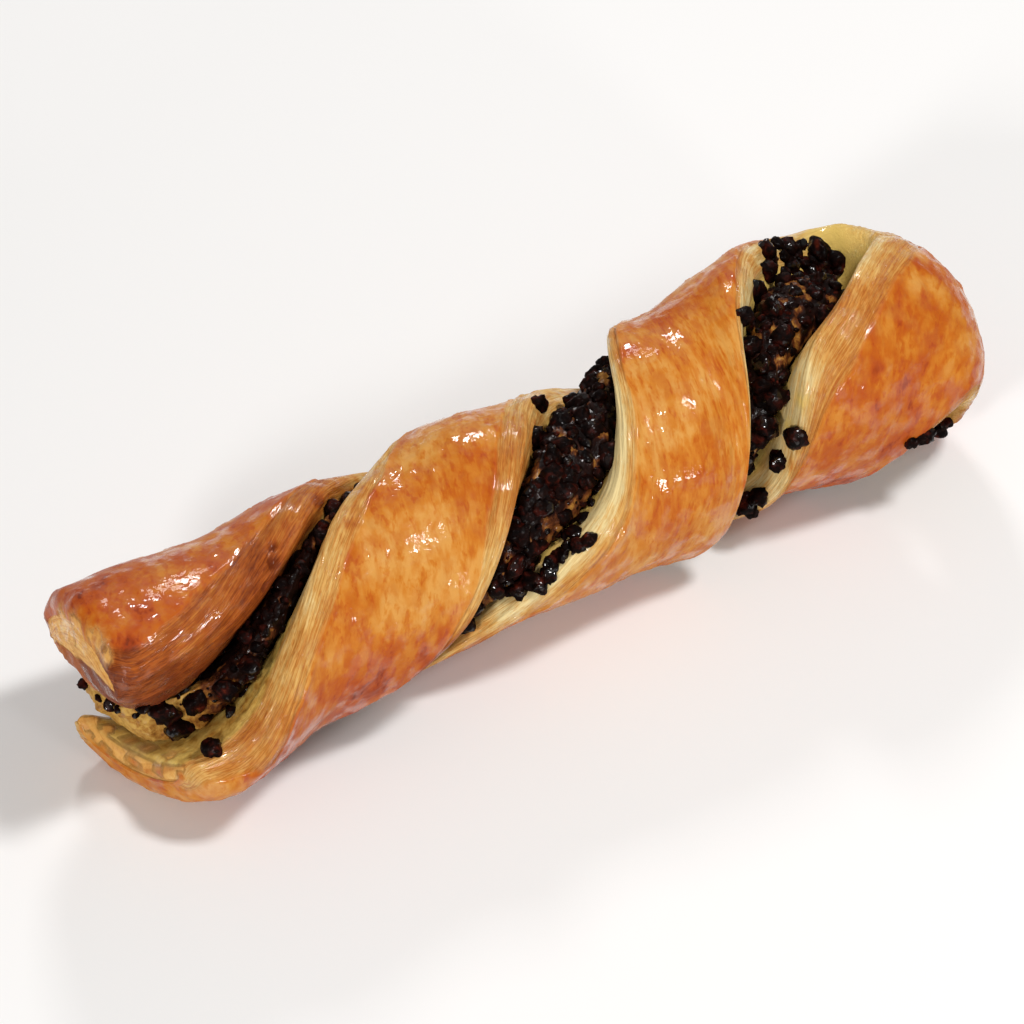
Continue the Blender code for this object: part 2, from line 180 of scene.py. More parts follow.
# The filling: how far it reaches out to each open edge, as shares of the radius.
FILLING_FRONT = ((0, 0.0), (10, 0.15), (20, 0.45), (32, 0.78), (150, 0.83), (165, 0.78), (182, 0.6))
FILLING_BACK = ((0, 0.80), (45, 0.84), (112, 0.88), (125, 0.84), (165, 0.84), (182, 0.6))
FILLING_LEAN = ((0, 0.5), (82, 0.5), (92, 0.36), (104, 0.36), (114, 0.5), (182, 0.5))
FILLING_START_MM = 2.5
FILLING_END_MM = 182
FILLING_STATIONS = 26
FILLING_GAP_MM = 0.7
CUSTARD_ROW_MM = 0.6
GLIMPSE_MM = 7.0
GLIMPSE_SHIFT = 3.0
CUSTARD_COLUMNS = (5, 5, 5, 5, 22, 22, 5, 5, 5, 5, 22, 22)
CUSTARD_END_ROWS = 6
CUSTARD_CLOSING = 0.97
LUMP_MM = (1.1, 0.5, 0.18)
CRACK_MM = 0.5
CUSTARD_INSET_MM = 0.15

# The chocolate, each kind: its radius from and to, how far apart at least, how many tries at a place, and how
# often the faces of its lumps are split.
Chocolate = namedtuple("Chocolate", "name low_mm high_mm spacing_mm tries fineness")
CHIPS = Chocolate("chocolate_chips", 1.5, 2.6, 4.2, 9000, 3)
NIBS = Chocolate("chocolate_nibs", 0.7, 1.4, 1.9, 16000, 2)
CRUMBS = Chocolate("chocolate_crumbs", 0.35, 0.75, 1.2, 22000, 1)
CHOCOLATE_SEED = 11
CHOCOLATE_MODELS = 6
CHOCOLATE_END_MM = 190
OUTSIDE_MM = 45.0
SUNK_SHARE = 0.25
LUMP_FORM = (1.1, 0.92, 0.78)
KNOB_REACH = 0.75

# How closely the dough is drawn: rows along the strip, and columns from its inner middle over lip and crown.
ROW_STEP_MM = 0.78
FOLD_OUTER_MM = 26
COLUMNS = (3, 6, 12, 14, 14, 14, 12)
CROWN = sum(COLUMNS)
FRONT_LIP = sum(COLUMNS[:3])
BACK_LIP = 2 * CROWN - FRONT_LIP
RIM_ROUNDING_MM = 4.5
ROLLED_RIM_MM = 6.0
END_BULGE_MM = 0.3
MIDDLE_SHARE = 0.12
END_COUNT = 15
END_SHARES = tuple((step + 1) / END_COUNT for step in range(END_COUNT))

# The dough's relief, in millimetres.
FLAKE_MM = (0.36, 0.20, 0.10)
RIM_RIDGE_MM = 0.30
RIM_GROOVE_MM = 0.38
BLISTER_MM = 0.50
PIT_MM = 0.9
SKIN_INSET_MM = 0.16

# The eye that the photograph was taken with, and the studio.
TARGET = Vector((-6.1, -0.7, 25.5)) * MM
EYE_RISE = 48.0
EYE_TURN = -32.95
EYE_DISTANCE = 1.1378
VIEW_WIDTH = 204.8 * MM
SENSOR_WIDTH = 36
FLOOR_DROP = 0.2 * MM
LIGHTS_AIM = Vector((0, 0, 20)) * MM


def along(stations, x_mm):
    """The value at x of a smooth curve through the stations."""
    last = len(stations) - 1
    i = max(j for j in range(last) if j == 0 or stations[j][0] <= x_mm)
    (x0, y0), (x1, y1) = stations[i], stations[i + 1]

    def slope(j):
        before, after = stations[max(j - 1, 0)], stations[min(j + 1, last)]
        return (after[1] - before[1]) / (after[0] - before[0])

    span = x1 - x0
    t = min(max((x_mm - x0) / span, 0.0), 1.0)
    return (
        (2 * t**3 - 3 * t**2 + 1) * y0
        + (t**3 - 2 * t**2 + t) * span * slope(i)
        + (3 * t**2 - 2 * t**3) * y1
        + (t**3 - t**2) * span * slope(i + 1)
    )


def around(x_mm, v_mm, w_mm, crown):
    """The point v across and w out from the axis, for a layer whose crown faces this angle from the front."""
    crown = math.radians(crown)
    front = v_mm * math.sin(crown) + w_mm * math.cos(crown)
    up = w_mm * math.sin(crown) - v_mm * math.cos(crown) + along(AXIS_UP, x_mm)
    slope = math.radians(FRONT_SLOPE)
    y_mm = up * math.sin(slope) - front * math.cos(slope)
    z_mm = up * math.cos(slope) + front * math.sin(slope)
    return Vector((x_mm, y_mm, z_mm)) * MM + PLACE


def crown_and_reach(x_mm, layer):
    """The angle that the layer's crown faces, and the angle from there to its lips."""
    front, back = along(layer.front_lip, x_mm), along(layer.back_lip, x_mm)
    crown = (front + back) / 2 + max(0.0, x_mm - FOLD_START_MM) * FOLD_TWIST
    return crown, abs(back - front) / 2


def lip(x_mm, layer):
    """Where a layer's lip is, as (v, w) in the layer's own frame."""
    _, reach = crown_and_reach(x_mm, layer)
    radius = along(layer.lip_share, x_mm) * along(layer.radius, x_mm)
    return radius * math.sin(math.radians(reach)), radius * math.cos(math.radians(reach))


def inner_height(x_mm, layer, share):
    """How far out from the axis a layer's inner surface is, at this share of the way across to its lip."""
    middle = along(layer.middle, x_mm)
    return middle + (lip(x_mm, layer)[1] - middle) * abs(share) ** INNER_CURVE


def layer_section(x_mm, layer):
    """One layer's outline across the strip, as (v, w) pairs from its inner middle round by the front lip."""
    _, reach = crown_and_reach(x_mm, layer)
    radius = along(layer.radius, x_mm)
    inside = [(share * lip(x_mm, layer)[0], inner_height(x_mm, layer, share)) for share in INNER_SHARES]
    outside = [(reach, along(layer.lip_share, x_mm))]
    outside += [(reach - inward, share) for inward, share in CUT_EDGE]
    outside += [(outside[-1][0] * share, 1.0) for share in CROWN_SHARES]
    half = inside + [
        (share * radius * math.sin(math.radians(angle)), share * radius * math.cos(math.radians(angle)))
        for angle, share in outside
    ]
    return half + [(-v, w) for v, w in reversed(half[1:-1])]


def puffed(x_mm, v_mm, w_mm, layer):
    """The point moved in or out a little, as dough rises unevenly."""
    swell = 1 + PUFF * noise.noise(Vector((x_mm, v_mm, w_mm * layer.side)) / PUFF_SCALE_MM)
    return v_mm * swell, w_mm * swell


def trim(x_mm, v_mm, layer):
    """How far the cut end is trimmed back at this point."""
    share = (v_mm / along(layer.radius, 0) + 1) / 2
    fade = max(0.0, 1 - x_mm / TRIM_REACH_MM)
    return (layer.trim_back + (layer.trim_front - layer.trim_back) * share) * fade


def strip_way():
    """The strip's way out in the upper layer, round the fold and back, as (x, angle round the fold) pairs."""
    stations = [0.0, 1.2]
    x_mm = along(STATION_STEP, 0.0)
    while x_mm < FOLD_START_MM - 3:
        stations.append(x_mm)
        x_mm += along(STATION_STEP, x_mm)
    stations.append(FOLD_START_MM)
    way = [(x_mm, 0.0) for x_mm in stations]
    way += [(FOLD_START_MM, math.pi * (i + 1) / (FOLD_STEPS + 1)) for i in range(FOLD_STEPS)]
    way += [(x_mm, math.pi) for x_mm in reversed(stations)]
    return way


def strip_sections():
    """The dough's sections as an array of points, with each one's x from the mouth and side of the fold."""
    rings, stations, sides = [], [], []
    for x_mm, angle in strip_way():
        layer = UPPER if angle <= math.pi / 2 else LOWER
        ring = []
        for v, w in layer_section(x_mm, layer):
            v, w = puffed(x_mm, v, w, layer)
            if 0 < angle < math.pi:
                radius = along(layer.radius, x_mm)
                out = FOLD_STRETCH * radius * (w / radius) ** FOLD_REACH_CURVE
                at = x_mm + out * math.sin(angle) ** FOLD_BLUNTNESS
                crown, _ = crown_and_reach(at, UPPER)
                v *= along(FOLD_SPREAD, at)
                if v > 0:
                    v *= FOLD_RISE[round(angle / math.pi * (FOLD_STEPS + 1))]
                ring.append(around(at, v, w * math.cos(angle), crown))
            else:
                crown, _ = crown_and_reach(x_mm, layer)
                ring.append(around(x_mm + trim(x_mm, v, layer), v * layer.side, w, crown))
        rings.append([tuple(point) for point in ring])
        stations.append(x_mm)
        sides.append(angle / math.pi)
    return np.array(rings), np.array(stations), np.array(sides)


def spline_weights(places, count, closed):
    """Weights that turn section points into a smooth surface at these places, one row a place."""
    weights = np.zeros((len(places), count))
    for row, place in enumerate(places):
        first = min(int(place), count - 1 if closed else count - 2)
        t = place - first
        shares = ((1 - t) ** 3, 3 * t**3 - 6 * t**2 + 4, -3 * t**3 + 3 * t**2 + 3 * t + 1, t**3)
        for step, share in zip((-1, 0, 1, 2), shares):
            at = first + step
            at = at % count if closed else min(max(at, 0), count - 1)
            weights[row, at] += share / 6
    return weights


def grid_normals(points):
    """Outward normals of a tube of points: rows along it, columns round it."""
    across = np.roll(points, -1, axis=1) - np.roll(points, 1, axis=1)
    down = np.gradient(points, axis=0)
    normals = np.cross(down, across)
    normals /= np.maximum(np.linalg.norm(normals, axis=2, keepdims=True), 1e-12)
    middles = points.mean(axis=1, keepdims=True)
    return normals * np.sign(np.sum(normals * (points - middles)))


def noise_at(*coordinates):
    """Smooth noise, about -1 to 1, read at arrays of coordinates; a bump is about two units long."""
    coordinates = np.broadcast_arrays(*coordinates)
    flat = np.stack(coordinates, axis=-1).reshape(-1, len(coordinates))
    if flat.shape[1] == 2:
        flat = np.concatenate([flat, np.zeros((len(flat), 1))], axis=1)
    values = np.fromiter(map(noise.noise, flat.tolist()), float, len(flat))
    return values.reshape(coordinates[0].shape)


def noise_in(points, bump_mm, shift=0.0):
    """Smooth noise, about -1 to 1, in space, with bumps about this many millimetres across."""
    scaled = points / (bump_mm * MM / 2) + shift
    return noise_at(scaled[..., 0], scaled[..., 1], scaled[..., 2])


def smooth_step(value, low, high):
    t = np.clip((value - low) / (high - low), 0, 1)
    return t * t * (3 - 2 * t)


def fade_out(value, low, high):
    return 1 - smooth_step(value, low, high)


def bump_at(value, middle, width):
    return np.exp(-(((value - middle) / width) ** 2))


def tube_from_grid(name, points, attributes, material):
    """A tube: a flat grid rolled up through the rows of points, its seam merged and its ends filled."""
    rows, columns = points.shape[:2]
    bpy.ops.object.select_all(action="DESELECT")
    bpy.ops.mesh.primitive_grid_add(x_subdivisions=columns, y_subdivisions=rows - 1, size=1)
    tube = bpy.context.active_object
    tube.name = tube.data.name = name
    rolled = np.concatenate([points, points[:, :1]], axis=1)
    tube.data.vertices.foreach_set("co", rolled.reshape(-1))
    for attribute_name, values in attributes.items():
        kind, field = ("FLOAT_VECTOR", "vector") if values.ndim == 3 else ("FLOAT", "value")
        attribute = tube.data.attributes.new(attribute_name, kind, "POINT")
        rolled = np.concatenate([values, values[:, :1]], axis=1).astype(np.float32)
        attribute.data.foreach_set(field, rolled.reshape(-1))
    tube.data.update()
    bpy.ops.object.mode_set(mode="EDIT")
    bpy.ops.mesh.select_mode(type="VERT")
    bpy.ops.mesh.select_all(action="SELECT")
    bpy.ops.mesh.remove_doubles(threshold=1e-7)
    bpy.ops.mesh.fill_holes(sides=0)
    bpy.ops.mesh.normals_make_consistent(inside=False)
    bpy.ops.object.mode_set(mode="OBJECT")
    bpy.ops.object.shade_smooth()
    tube.data.materials.clear()
    tube.data.materials.append(material)
    return tube


def row_places():
    """Where the dough's rows are on its way, counted in sections, spaced evenly along the strip."""
    places = []
    way = strip_way()
    for i, ((x_mm, angle), (next_x, next_angle)) in enumerate(zip(way, way[1:])):
        length_mm = abs(next_x - x_mm) + abs(next_angle - angle) * FOLD_OUTER_MM
        count = max(5, round(length_mm / ROW_STEP_MM))
        places += [i + step / count for step in range(count)]
    return places + [len(way) - 1]


def column_places():
    """Where the dough's columns are round its section, counted in section points."""
    places = []
    for i, count in enumerate(COLUMNS + COLUMNS[::-1]):
        places += [i + step / count for step in range(count)]
    return places


def layer_middle(ring):
    """For each point of a section, the point half way through the layer."""
    outer_columns = list(range(FRONT_LIP, BACK_LIP + 1))
    inner_columns = list(range(FRONT_LIP, -1, -1)) + list(range(len(ring) - 1, BACK_LIP - 1, -1))
    outer, inner = ring[outer_columns], ring[inner_columns]

    def shares(curve):
        lengths = np.concatenate([[0], np.cumsum(np.linalg.norm(np.diff(curve, axis=0), axis=1))])
        return lengths / lengths[-1]

    def between(at):
        at = np.clip(at, MIDDLE_SHARE, 1 - MIDDLE_SHARE)
        sides = [
            np.stack([np.interp(at, shares(curve), curve[:, axis]) for axis in range(3)], axis=1)
            for curve in (inner, outer)
        ]
        return (sides[0] + sides[1]) / 2

    middle = np.empty_like(ring)
    middle[inner_columns] = between(shares(inner))
    middle[outer_columns] = between(shares(outer))
    return middle


def rolled_share(count):
    """How far each column belongs to the lower side of the upper layer's end, which the oven rolled round."""
    columns = np.arange(count)
    share = fade_out(columns, FRONT_LIP + 2, CROWN - 8)
    return np.maximum(share, 0.8 * smooth_step(columns, BACK_LIP + 2, count - 4))


def round_rims(points, station_mm):
    """Rounds the rim of both cut ends."""
    rolled = RIM_ROUNDING_MM + (ROLLED_RIM_MM - RIM_ROUNDING_MM) * rolled_share(points.shape[1])
    for row in np.flatnonzero(station_mm < ROLLED_RIM_MM):
        rim = rolled if row < len(points) / 2 else np.full_like(rolled, RIM_ROUNDING_MM)
        left = np.maximum(rim - station_mm[row], 0.0)
        inset = (rim - np.sqrt(rim**2 - left**2))[:, None] * MM
        inwards = layer_middle(points[row]) - points[row]
        depth = np.linalg.norm(inwards, axis=1, keepdims=True)
        points[row] += inwards / np.maximum(depth, 1e-9) * np.minimum(inset, 0.8 * depth)


def end_rows(ring):
    """Rows that close a cut end, each one shrunk further towards a seam in the middle of the layer."""
    inwards = layer_middle(ring) - ring
    outwards = np.array([-END_BULGE_MM * MM, 0.0, 0.0])
    rows = np.array([ring + inwards * share + outwards * share for share in END_SHARES])
    seam = rows[-1, FRONT_LIP : BACK_LIP + 1]
    for column in [*range(FRONT_LIP), *range(BACK_LIP + 1, len(ring))]:
        rows[-1, column] = seam[np.argmin(np.linalg.norm(seam - rows[-1, column], axis=1))]
    return rows


def marked(points, marks):
    """How strongly round marks, given by their place on the photograph, cover each point, from 0 to 1."""
    back, right, up = (np.array(axis) for axis in sight_axes())
    offset = points - np.array(TARGET)
    near = offset @ back
    scale = EYE_DISTANCE / (EYE_DISTANCE - near) / VIEW_WIDTH
    across, down = (0.5 + offset @ right * scale) * IMAGE_SIDE, (0.5 - offset @ up * scale) * IMAGE_SIDE
    ragged = 1 + 0.45 * noise_in(points, 3.5, 40.0)
    strength = np.zeros(near.shape)
    for x_pixel, y_pixel, radius_mm in marks:
        seen = np.argmax(np.where(np.hypot(across - x_pixel, down - y_pixel) < 5, near, -1.0))
        away = np.linalg.norm(points - points.reshape(-1, 3)[seen], axis=-1) * ragged
        strength = np.maximum(strength, fade_out(away / (radius_mm * MM), 0.3, 1.1))
    return strength


def laminations(way_mm, depth_mm, lip_number):
    """The relief of thin dough layers seen on edge: ridges that run with the strip, of three widths."""
    depth = depth_mm + 0.9 * noise_at(way_mm / 9, depth_mm / 5, lip_number)
    wide = noise_at(way_mm / 22, depth / 2.3, lip_number + 7)
    middle = noise_at(way_mm / 9, depth / 1.0, lip_number + 17)
    fine = noise_at(way_mm / 5, depth / 0.55, lip_number + 27)
    return FLAKE_MM[0] * wide + FLAKE_MM[1] * middle + FLAKE_MM[2] * fine


class DoughSkin:
    """The dough's surface in rows along the folded strip, and where on the strip each of its points lies."""

    def __init__(self):
        sections, stations, sides = strip_sections()
        along_weights = spline_weights(row_places(), len(sections), closed=False)
        around_weights = spline_weights(column_places(), sections.shape[1], closed=True)
        tube = np.einsum("ri,sj,ijk->rsk", along_weights, around_weights, sections)
        station_mm = along_weights @ stations
        station_mm[[0, -1]] = 0.0
        round_rims(tube, station_mm)
        self.points = np.concatenate([end_rows(tube[0])[::-1], tube, end_rows(tube[-1])])
        columns = np.arange(tube.shape[1])
        self.front_side = columns <= CROWN
        self.outer_side = (columns >= FRONT_LIP) & (columns <= BACK_LIP)
        self.station_mm = np.pad(station_mm, END_COUNT)[:, None]
        self.side = np.pad(along_weights @ sides, END_COUNT, mode="edge")[:, None]
        self.upper, self.lower = self.side < 0.5, self.side > 0.5
        self.at_end = np.concatenate([END_SHARES[::-1], np.zeros(len(tube)), END_SHARES])[:, None]
        self.measure(tube)

    def measure(self, tube):
        """Distances: on along the strip, across it, in from the nearer lip, and into a cut end."""
        steps = np.linalg.norm(np.diff(tube, axis=0), axis=2).mean(axis=1) / MM
        on_mm = np.pad(np.concatenate([[0], np.cumsum(steps)]), END_COUNT, mode="edge")
        steps = np.linalg.norm(np.diff(tube, axis=1), axis=2) / MM
        round_mm = np.concatenate([np.zeros((len(tube), 1)), np.cumsum(steps, axis=1)], axis=1)
        round_mm = np.pad(round_mm, ((END_COUNT, END_COUNT), (0, 0)), mode="edge")
        from_front = round_mm - round_mm[:, FRONT_LIP : FRONT_LIP + 1]
        from_back = round_mm[:, BACK_LIP : BACK_LIP + 1] - round_mm
        self.way_mm = on_mm[:, None] + 0 * round_mm
        self.across_mm = round_mm - round_mm[:, CROWN : CROWN + 1]
        self.edge_mm = np.where(self.front_side, from_front, from_back)
        self.depth_mm = self.at_end * np.linalg.norm(layer_middle(tube[0]) - tube[0], axis=1) / MM
        self.layer_number = smooth_step(self.side, 0.3, 0.7) + 0 * round_mm
        self.lip_number = np.where(self.front_side, 0.0, 40.0) + 0 * round_mm

    def beside_lips(self, tables):
        """A measure that is given beside the four lips, read at each point for the nearer one."""

        def read(upper, lower):
            values = np.array([[along(upper, x_mm), along(lower, x_mm)] for x_mm in self.station_mm[:, 0]])
            return values[:, :1] + (values[:, 1:] - values[:, :1]) * smooth_step(self.side, 0.2, 0.8)

        front = read(tables.upper_front, tables.lower_front)
        back = read(tables.upper_back, tables.lower_back)
        return np.where(self.front_side, front, back)


Zones = namedtuple("Zones", "bare inner cut_end crust width_mm gathered")


def dough_zones(skin):
    """How far each point is bare cut edge, inner side, cut end or crust, how wide the bare edge is there, and
    how far the rows are gathered in the fold."""
    wander = 1.2 * noise_at(skin.way_mm / 6, skin.lip_number, skin.layer_number * 5 + 2)
    width_mm = skin.beside_lips(BARE_MM)
    width_mm = width_mm + 1.3 * noise_at(skin.way_mm / 8, skin.lip_number, skin.layer_number * 9)
    width_mm = width_mm + 0.5 * noise_at(skin.way_mm / 1.6, skin.lip_number)
    bare = fade_out(skin.edge_mm, width_mm - 0.5, width_mm + 0.7)
    lower_mouth = skin.lower * fade_out(skin.station_mm, 25.0, 50.0)
    inner = smooth_step(-skin.edge_mm + wander, 4.0 - 3.2 * lower_mouth, 6.5 - 4.2 * lower_mouth)

    # The upper layer's end is cut straight through and rolled round below, and the lower one's is folded over
    rolled = rolled_share(skin.points.shape[1])[None, :] * skin.upper
    cut_end = smooth_step(skin.at_end, 0.30 * rolled, 0.1 + 0.45 * rolled)
    folded_over = fade_out(skin.station_mm + 1.5 * wander, 0.5, 2.0) * skin.lower
    cut_end = np.maximum(cut_end, folded_over * smooth_step(-skin.edge_mm, -1.0, 1.0))
    glazed_end = smooth_step(skin.at_end, 0.1, 0.5)
    cut_end = cut_end * (1 - np.where(skin.outer_side, 1.0, glazed_end) * (skin.lower & (skin.at_end > 0)))
    crusted = marked(skin.points, CRUSTED_ENDS)
    cut_end = np.maximum(cut_end, marked(skin.points, PALE_ENDS)) * (1 - crusted)
    inner = np.maximum(inner, smooth_step(rolled, 0.2, 0.6) * (skin.at_end > 0))
    capped = np.maximum(crusted, skin.lower * glazed_end)
    bare = bare * (1 - cut_end) * (1 - capped)
    inner = inner * (1 - cut_end) * (1 - capped)
    crust = np.clip(1 - bare - inner - cut_end, 0, 1)

    spacing_mm = np.linalg.norm(np.gradient(skin.points, axis=0), axis=2) / MM
    gathered = fade_out(spacing_mm, 0.2, 0.65) * ((skin.side > 0.02) & (skin.side < 0.98))
    return Zones(bare, inner, cut_end, crust, width_mm, gathered)


def dough_relief(skin, zones, pits):
    """The relief in millimetres, out from the smooth surface: flakes, blisters, crumb and pits."""
    flakes = laminations(skin.way_mm, skin.edge_mm, skin.lip_number + 90 * skin.layer_number)
    rim = RIM_RIDGE_MM * bump_at(skin.edge_mm, zones.width_mm + 0.9, 1.0)
    rim -= RIM_GROOVE_MM * bump_at(skin.edge_mm, zones.width_mm - 0.5, 0.55)
    rim = rim * (0.6 + 0.6 * noise_at(skin.way_mm / 6, skin.lip_number + 5))
    blisters = np.maximum(0, noise_in(skin.points, 5.0) - 0.1)
    crust = 0.07 * noise_in(skin.points, 2.6) + BLISTER_MM * blisters + 0.25 * noise_in(skin.points, 14)
    crumb = 0.22 * noise_in(skin.points, 2.4) + 0.10 * noise_in(skin.points, 1.1)
    end_flakes = laminations(skin.across_mm * 1.2, skin.depth_mm * 1.1, 160.0) * 0.8
    relief = zones.crust * crust + zones.bare * flakes + (1 - zones.cut_end) * (1 - zones.inner) * rim
    relief += zones.inner * crumb + zones.cut_end * (end_flakes + crumb - 0.1) - SKIN_INSET_MM
    relief *= 1 - zones.gathered
    relief *= fade_out(skin.at_end, 0.5, 1.0)
    return relief - PIT_MM * pits


def raise_relief(skin, relief_mm):
    """The points moved out by the relief, each cut end's all one way, so that the end stays closed."""
    normals = grid_normals(skin.points)
    for rows, first, later in (
        (slice(None, END_COUNT), END_COUNT, END_COUNT + 6),
        (slice(-END_COUNT, None), -END_COUNT - 1, -END_COUNT - 7),
    ):
        outwards = (skin.points[first] - skin.points[later]).mean(axis=0)
        turned = smooth_step(skin.at_end[rows], 0.0, 0.2)[..., None]
        normals[rows] += (outwards / np.linalg.norm(outwards) - normals[rows]) * turned
    return skin.points + normals * relief_mm[..., None] * MM


def dough_browning_and_low_shade(skin, zones, points):
    """How far the oven browned each point, most at the mouth and fold, with painted shade low on the sides.
    """
    height_mm = points[..., 2] / MM
    near_mouth = fade_out(skin.station_mm, 60.0, 95.0)
    past_end = smooth_step(skin.station_mm, 8.0, 28.0)
    near_fold = smooth_step(skin.station_mm, 150.0, 172.0)
    browning_and_low_shade = 0.45 + 0.3 * noise_in(points, 45) + 0.1 * noise_in(points, 18) + 0.32 * near_mouth * skin.upper
    # Painted shade: points low on the sides are darkened, more at the lower layer's mouth end and round the
    # fold.
    browning_and_low_shade += 0.25 * fade_out(height_mm, 4.0, 22.0) * past_end
    browning_and_low_shade += (0.44 - 0.30 * smooth_step(height_mm, 20.0, 46.0)) * near_fold
    browning_and_low_shade += 0.6 * near_mouth * skin.lower * past_end * fade_out(height_mm, 18.0, 34.0)
    browning_and_low_shade += 0.32 * near_mouth * skin.upper * zones.bare * fade_out(skin.station_mm, 32.0, 50.0)
    return browning_and_low_shade


def draw_dough(room):
    """The baked dough: the folded strip in fine rows, with flaky bare edges and a blistered crust."""
    skin = DoughSkin()
    zones = dough_zones(skin)
    pits = marked(skin.points, PITS)
    # Scorched spots darken the crust, and the pits are darkened with them as painted shade.
    scorch_and_pit_shade = np.maximum(marked(skin.points, SCORCHES), pits)
    points = np.clip(raise_relief(skin, dough_relief(skin, zones, pits)), *room)

    # Custard lies on the inner sides, but not where the upper layer's mouth end is rolled round
    rolled_side = skin.upper * fade_out(skin.station_mm, 45.0, 60.0)
    film = np.maximum(zones.inner * (1 - rolled_side), 0.9 * marked(points, SPILLS))
    film = np.maximum(film, zones.gathered * (1 - zones.crust))
    faded = fade_out(skin.edge_mm, 1.0, zones.width_mm * 0.75)
    crosswise = zones.cut_end > 0.5
    strip = (
        np.where(crosswise, skin.across_mm, skin.way_mm),
        np.where(crosswise, skin.depth_mm, skin.edge_mm),
        skin.lip_number + 90 * skin.layer_number,
    )
    attributes = {
        "skin": np.stack([skin.way_mm / 10, skin.across_mm / 10, 9 * skin.layer_number], axis=-1),
        "strip": np.stack(strip, axis=-1) / 10,
        "bare": zones.bare,
        "inner": zones.inner,
        "cut_end": zones.cut_end,
        "browning_and_low_shade": dough_browning_and_low_shade(skin, zones, points),
        "paleness": skin.beside_lips(PALENESS) * faded,
        "film": film,
        "scorch_and_pit_shade": scorch_and_pit_shade,
    }
    return tube_from_grid("baked_dough", points, attributes, dough_material())


def filling_ring(x_mm):
    """The filling's outline across the strip, just clear of both layers, and bulging in both open edges."""
    ring = []
    for layer in (UPPER, LOWER):
        crown, _ = crown_and_reach(x_mm, layer)
        across = lip(x_mm, layer)[0]
        front, back = along(FILLING_FRONT, x_mm), along(FILLING_BACK, x_mm)
        shares = [front, front / 2, 0.0, -back / 2, -back]
        for share in shares[:: layer.side]:
            height = inner_height(x_mm, layer, share) - FILLING_GAP_MM
            at = x_mm + trim(x_mm, share * across, LOWER)
            ring.append(around(at, share * across * layer.side, height, crown))
        edge, reach = ("back", back) if layer is UPPER else ("front", front)
        share = along(FILLING_LEAN, x_mm) if edge == "back" else 0.5
        ring.append(in_opening(x_mm, edge, share, reach))
    return [tuple(point) for point in ring]


def in_opening(x_mm, edge, share, reach):
    """A point in an open edge, at this share of the way up between the lips, and this share of the radius."""
    if edge == "front":
        low, high = along(LOWER.front_lip, x_mm), along(UPPER.front_lip, x_mm)
    else:
        low, high = along(LOWER.back_lip, x_mm), along(UPPER.back_lip, x_mm) - 360
    radius = (along(UPPER.radius, x_mm) + along(LOWER.radius, x_mm)) / 2
    return around(x_mm, 0.0, reach * radius, low + (high - low) * share)


def draw_custard():
    """The custard between the layers, lumpy where it shows along both open edges."""
    spread = (FILLING_END_MM - FILLING_START_MM) / (FILLING_STATIONS - 1)
    sections = np.array([filling_ring(FILLING_START_MM + spread * i) for i in range(FILLING_STATIONS)])
    row_count = round((FILLING_END_MM - FILLING_START_MM) / CUSTARD_ROW_MM)
    rows = np.linspace(0, FILLING_STATIONS - 1, row_count)
    columns = np.array([i + step / count for i, count in enumerate(CUSTARD_COLUMNS) for step in range(count)])
    points = np.einsum(
        "ri,sj,ijk->rsk",
        spline_weights(rows, len(sections), closed=False),
        spline_weights(columns, len(CUSTARD_COLUMNS), closed=True),
        sections,
    )
    middles = points.mean(axis=1, keepdims=True)
    for step in range(CUSTARD_END_ROWS):
        shrink = 1 - math.sqrt(1 - (1 - step / CUSTARD_END_ROWS) ** 2)
        for row in (step, -1 - step):
            points[row] += (middles[row] - points[row]) * CUSTARD_CLOSING * shrink

    lumps = LUMP_MM[0] * np.maximum(0, noise_in(points, 7)) + LUMP_MM[1] * noise_in(points, 2.6)
    lumps += LUMP_MM[2] * noise_in(points, 1.0) - CRACK_MM * np.abs(noise_in(points, 3.2, 9.0))
    points = points + grid_normals(points) * (lumps - CUSTARD_INSET_MM)[..., None] * MM

    # Where the custard is unstained: at the marked patches, in scattered glimpses, and all round the mouth
    glimpses = 0.8 * smooth_step(noise_in(points, GLIMPSE_MM, GLIMPSE_SHIFT), 0.10, 0.32)
    at_mouth = fade_out(rows / (FILLING_STATIONS - 1) * FILLING_END_MM, 12.0, 24.0)[:, None]
    unstained = np.maximum(np.maximum(0.9 * marked(points, CUSTARD_PATCHES), glimpses), 1.25 * at_mouth)
    return tube_from_grid("custard", points, {"unstained": unstained}, custard_material())


def chocolate_lump(fineness, number):
    """One piece of chocolate that has melted and set again, of radius 1 metre: a rough, knobbly lump."""
    bpy.ops.object.select_all(action="DESELECT")
    bpy.ops.mesh.primitive_ico_sphere_add(subdivisions=fineness, radius=1)
    lump = bpy.context.active_object
    shift = Vector((number * 7.3, number * 3.1, number))
    for vert in lump.data.vertices:
        out = vert.co.normalized()
        swell = 0.9 + 0.45 * noise.noise(out * 1.1 + shift) + 0.15 * noise.noise(out * 2.6 + shift)
        from_knob = noise.voronoi(out * 2.6 + shift)[0][0]
        swell += 0.22 * math.sqrt(max(0.0, 1 - (from_knob / KNOB_REACH) ** 2))
        vert.co = out * Vector(LUMP_FORM) * swell
    return lump


